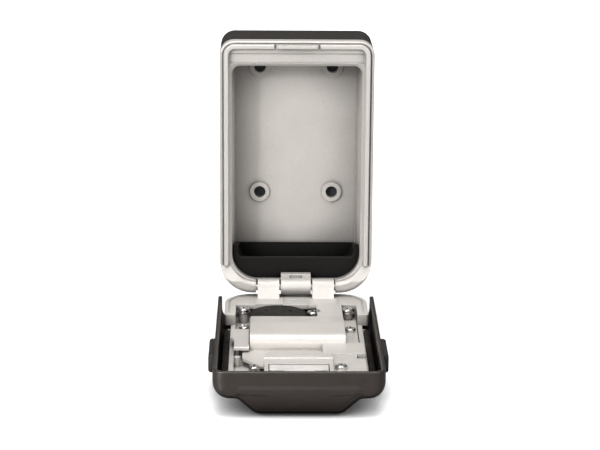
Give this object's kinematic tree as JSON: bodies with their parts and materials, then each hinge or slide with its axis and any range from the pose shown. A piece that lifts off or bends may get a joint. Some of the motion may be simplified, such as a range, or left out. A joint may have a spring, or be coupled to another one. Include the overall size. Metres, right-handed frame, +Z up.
{
  "type": "key lock box",
  "caption": "Wall-mounted key lock box with a hinged door, number-wheel combination lock, latch, and a sliding weather cover, shown open.",
  "frame": {"origin": "centre of the flat rear face that lies against the wall, at the body's mid-height", "axes": "+X to the right seen from the front, +Y into the wall, +Z up; the door opens towards -Y"},
  "size_m": [0.0764, 0.15, 0.1374],
  "materials": {
    "cast_silver": "warm silver satin paint on die-cast metal",
    "cover_silver": "warm silver satin paint, smooth",
    "jacket_black": "soft satin moulded jacket",
    "cover_black": "satin moulded weather cover",
    "tray_black": "fine moulded texture",
    "grip_black": "ribbed",
    "steel_bright": "bright nickel plate",
    "steel_brushed": "brushed",
    "brass": "as machined",
    "cap_black": "fine moulded texture",
    "board_green": "solder mask",
    "lamp_clear": "clear",
    "wheel_black": "moulded with white numerals",
    "bezel_black": "gloss",
    "button_grey": "satin"
  },
  "bodies": {
    "body": {"body_housing": "cast_silver", "rear_jacket": "jacket_black", "jacket_screws": "steel_bright", "key_tray": "tray_black", "strike_plate": "cover_silver", "hinge_pin": "steel_brushed"},
    "door": {"door_shell": "cast_silver", "mechanism_cover": "cover_silver", "cover_screws": "steel_bright", "post_washers": "steel_bright", "coin_cell": "steel_brushed", "battery_contact": "brass", "light_board": "board_green", "dial_lamps": "lamp_clear", "dial_shaft": "steel_brushed", "wheel_detent": "steel_brushed", "dial_bezel": "bezel_black", "latch_spring": "steel_brushed"},
    "weather_cover": {"weather_cover": "cover_black", "cover_grip_left": "grip_black", "cover_grip_right": "grip_black"},
    "latch": {"latch_bolt": "steel_bright", "fence_bar": "steel_brushed", "release_lever": "bezel_black"},
    "change_lever": {"change_lever": "cover_silver"},
    "light_button": {"light_button": "button_grey"},
    "battery_cap": {"battery_cap": "cap_black"},
    "wheel_1": {"dial_wheel_1": "wheel_black", "dial_hub_1": "brass"},
    "wheel_2": {"dial_wheel_2": "wheel_black", "dial_hub_2": "brass"},
    "wheel_3": {"dial_wheel_3": "wheel_black", "dial_hub_3": "brass"},
    "wheel_4": {"dial_wheel_4": "wheel_black", "dial_hub_4": "brass"}
  },
  "joints": [
    {"name": "door_hinge", "type": "hinge", "parent": "body", "child": "door", "pos_m": [0, -0.032, -0.05665], "axis": [-1, 0, 0], "range_deg": [0, 90]},
    {"name": "cover_slide", "type": "slide", "parent": "door", "child": "weather_cover", "axis": [0, -1, 0], "range_m": [0, 0.045]},
    {"name": "latch_slide", "type": "slide", "parent": "door", "child": "latch", "axis": [0, -1, 0], "range_m": [0, 0.0022]},
    {"name": "change_lever_slide", "type": "slide", "parent": "door", "child": "change_lever", "axis": [0, -1, 0], "range_m": [0, 0.003]},
    {"name": "light_button_press", "type": "slide", "parent": "door", "child": "light_button", "axis": [0, 0, 1], "range_m": [0, 0.0006]},
    {"name": "battery_cap_turn", "type": "hinge", "parent": "door", "child": "battery_cap", "pos_m": [-0.0082, -0.0606, -0.06145], "axis": [0, 0, -1], "range_deg": [0, 30]},
    {"name": "wheel_1_turn", "type": "hinge", "parent": "door", "child": "wheel_1", "pos_m": [-0.0111, -0.092, -0.06665], "axis": [1, 0, 0], "continuous": true},
    {"name": "wheel_2_turn", "type": "hinge", "parent": "door", "child": "wheel_2", "pos_m": [-0.0037, -0.092, -0.06665], "axis": [1, 0, 0], "continuous": true},
    {"name": "wheel_3_turn", "type": "hinge", "parent": "door", "child": "wheel_3", "pos_m": [0.0037, -0.092, -0.06665], "axis": [1, 0, 0], "continuous": true},
    {"name": "wheel_4_turn", "type": "hinge", "parent": "door", "child": "wheel_4", "pos_m": [0.0111, -0.092, -0.06665], "axis": [1, 0, 0], "continuous": true}
  ]
}
